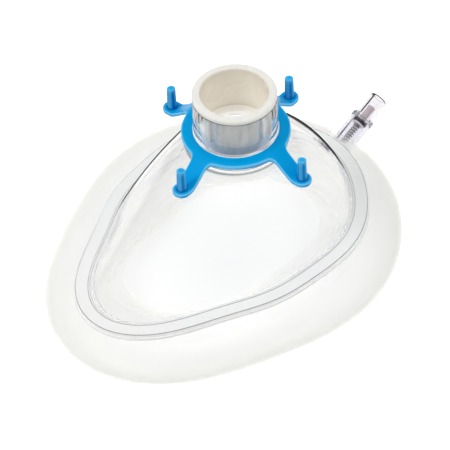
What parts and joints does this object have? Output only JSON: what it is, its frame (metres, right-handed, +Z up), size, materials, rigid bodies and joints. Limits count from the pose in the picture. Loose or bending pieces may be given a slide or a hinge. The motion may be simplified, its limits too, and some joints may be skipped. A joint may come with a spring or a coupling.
{
  "type": "anaesthesia and resuscitation face mask",
  "caption": "Clear domed face mask with an air-filled cushion, an inflation valve, a 22 mm breathing connector and a turning ring of harness pegs.",
  "frame": {"origin": "the connector's axis where it meets the plane the face cushion rests on", "axes": "+Z up the connector axis away from the face, -Y to the nose end, +Y to the chin end with the inflation valve, X across the face"},
  "size_m": [0.1108, 0.1516, 0.0715],
  "materials": {
    "clear_dome": "clear glossy moulding",
    "ivory_plastic": "ivory satin-gloss moulding",
    "blue_plastic": "azure glossy moulding",
    "milky_film": "soft milky translucent film, satin",
    "clear_valve": "clear glossy moulding with a lavender tint",
    "grey_plastic": "grey-pink moulding",
    "black_rubber": "black, matte",
    "spring_steel": "plain drawn wire"
  },
  "bodies": {
    "mask": {"dome_shell": "clear_dome", "connector_bush": "ivory_plastic", "cushion": "milky_film", "valve_body": "clear_valve", "valve_luer_port": "clear_valve", "valve_spring": "spring_steel"},
    "ring": {"hook_ring": "blue_plastic"},
    "stem": {"valve_stem": "grey_plastic", "valve_seal": "black_rubber"}
  },
  "joints": [
    {"name": "ring_spin", "type": "hinge", "parent": "mask", "child": "ring", "pos_m": [0, 0, 0.0547], "axis": [0, 0, 1], "continuous": true},
    {"name": "stem_push", "type": "slide", "parent": "mask", "child": "stem", "axis": [0, -0.9336, -0.3584], "range_m": [0, 0.002], "deforming": ["valve_spring"]}
  ]
}
